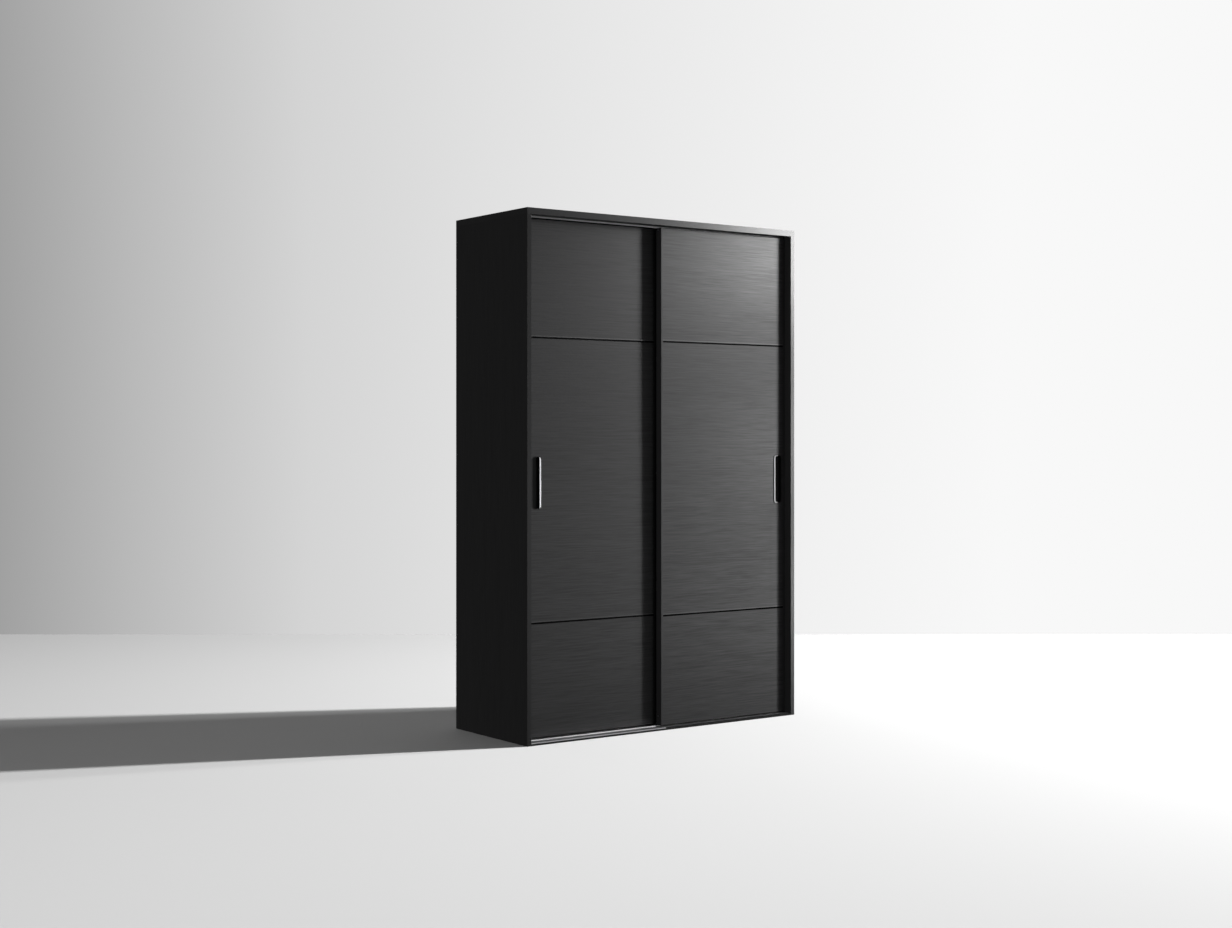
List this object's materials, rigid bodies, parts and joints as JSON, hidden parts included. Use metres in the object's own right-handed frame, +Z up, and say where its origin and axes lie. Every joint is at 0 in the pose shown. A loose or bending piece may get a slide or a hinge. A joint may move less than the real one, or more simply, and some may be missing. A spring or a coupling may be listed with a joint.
{
  "type": "sliding-door wardrobe",
  "caption": "Tall black wardrobe with overlapping framed sliding doors, slim crosswise dividers and flush finger pulls, a low floor track, a hanging bay and shelves.",
  "frame": {"origin": "bottom centre of the outer box, on the floor", "axes": "+X to the right as seen from the front, +Y from the doors to the back, +Z up; the doors face -Y"},
  "size_m": [1.38, 0.54, 2.1],
  "materials": {
    "side_laminate": "matt black laminate on particle board",
    "top_laminate": "black wood-grain laminate on particle board",
    "inner_laminate": "black wood-grain laminate on particle board",
    "plinth_board": "black edged particle board",
    "screw_steel": "zinc-plated",
    "back_hardboard": "black lacquered hardboard",
    "strip_plastic": "extruded",
    "dowel_beech": "turned beech",
    "cam_zinc": "die-cast zinc",
    "bumper_rubber": "soft",
    "track_aluminium": "satin anodised",
    "track_black": "black anodised, with a bright front lip",
    "rail_chrome": "polished",
    "pin_steel": "zinc-plated",
    "bracket_steel": "zinc-plated",
    "door_laminate": "black wood-grain laminate, satin",
    "frame_black": "black anodised",
    "cup_plastic": "moulded black",
    "grip_chrome": "satin chromed",
    "axle_steel": "ground",
    "wheel_nylon": "turned nylon",
    "shoe_nylon": "moulded nylon"
  },
  "bodies": {
    "carcass": {"back_joining_strip": "strip_plastic", "back_panel_left": "back_hardboard", "back_panel_right": "back_hardboard", "back_panel_screws": "screw_steel", "board_dowels": "dowel_beech", "board_screws": "screw_steel", "bottom_panel": "inner_laminate", "bottom_track": "track_aluminium", "cam_fittings": "cam_zinc", "centre_partition": "inner_laminate", "door_bumpers": "bumper_rubber", "front_sill": "plinth_board", "hanging_rail": "rail_chrome", "hanging_rail_sockets": "rail_chrome", "hat_shelf": "inner_laminate", "left_side_panel": "side_laminate", "lower_shelf": "inner_laminate", "middle_shelf": "inner_laminate", "plinth_front_rail": "plinth_board", "plinth_rear_rail": "plinth_board", "right_side_panel": "side_laminate", "shelf_pins": "pin_steel", "top_panel": "top_laminate", "top_track": "track_black", "upper_shelf": "inner_laminate", "wall_brackets": "bracket_steel"},
    "left_door": {"left_door_bottom_rail": "frame_black", "left_door_frame_screws": "screw_steel", "left_door_guide_shoes": "shoe_nylon", "left_door_handle_cup": "cup_plastic", "left_door_handle_grip": "grip_chrome", "left_door_left_stile": "frame_black", "left_door_lower_divider": "frame_black", "left_door_lower_panel": "door_laminate", "left_door_middle_panel": "door_laminate", "left_door_right_stile": "frame_black", "left_door_roller_axles": "axle_steel", "left_door_roller_brackets": "bracket_steel", "left_door_top_rail": "frame_black", "left_door_upper_divider": "frame_black", "left_door_upper_panel": "door_laminate"},
    "right_door": {"right_door_bottom_rail": "frame_black", "right_door_frame_screws": "screw_steel", "right_door_guide_shoes": "shoe_nylon", "right_door_handle_cup": "cup_plastic", "right_door_handle_grip": "grip_chrome", "right_door_left_stile": "frame_black", "right_door_lower_divider": "frame_black", "right_door_lower_panel": "door_laminate", "right_door_middle_panel": "door_laminate", "right_door_right_stile": "frame_black", "right_door_roller_axles": "axle_steel", "right_door_roller_brackets": "bracket_steel", "right_door_top_rail": "frame_black", "right_door_upper_divider": "frame_black", "right_door_upper_panel": "door_laminate"},
    "left_door_left_roller": {"left_door_left_wheel": "wheel_nylon"},
    "left_door_right_roller": {"left_door_right_wheel": "wheel_nylon"},
    "right_door_left_roller": {"right_door_left_wheel": "wheel_nylon"},
    "right_door_right_roller": {"right_door_right_wheel": "wheel_nylon"}
  },
  "joints": [
    {"name": "left_door_slide", "type": "slide", "parent": "carcass", "child": "left_door", "axis": [1, 0, 0], "range_m": [0, 0.6645]},
    {"name": "right_door_slide", "type": "slide", "parent": "carcass", "child": "right_door", "axis": [1, 0, 0], "range_m": [-0.6645, 0]},
    {"name": "left_door_left_roller_spin", "type": "hinge", "parent": "left_door", "child": "left_door_left_roller", "pos_m": [-0.599, -0.1575, 0.0223], "axis": [0, 1, 0], "range_deg": [0, 3462]},
    {"name": "left_door_right_roller_spin", "type": "hinge", "parent": "left_door", "child": "left_door_right_roller", "pos_m": [-0.0655, -0.1575, 0.0223], "axis": [0, 1, 0], "range_deg": [0, 3462]},
    {"name": "right_door_left_roller_spin", "type": "hinge", "parent": "right_door", "child": "right_door_left_roller", "pos_m": [0.0655, -0.2075, 0.0223], "axis": [0, 1, 0], "range_deg": [-3462, 0]},
    {"name": "right_door_right_roller_spin", "type": "hinge", "parent": "right_door", "child": "right_door_right_roller", "pos_m": [0.599, -0.2075, 0.0223], "axis": [0, 1, 0], "range_deg": [-3462, 0]}
  ],
  "couplings": [
    {"joint": "left_door_left_roller_spin", "follows": "left_door_slide", "rad_per_m": 90.909},
    {"joint": "left_door_right_roller_spin", "follows": "left_door_slide", "rad_per_m": 90.909},
    {"joint": "right_door_left_roller_spin", "follows": "right_door_slide", "rad_per_m": 90.909},
    {"joint": "right_door_right_roller_spin", "follows": "right_door_slide", "rad_per_m": 90.909}
  ]
}
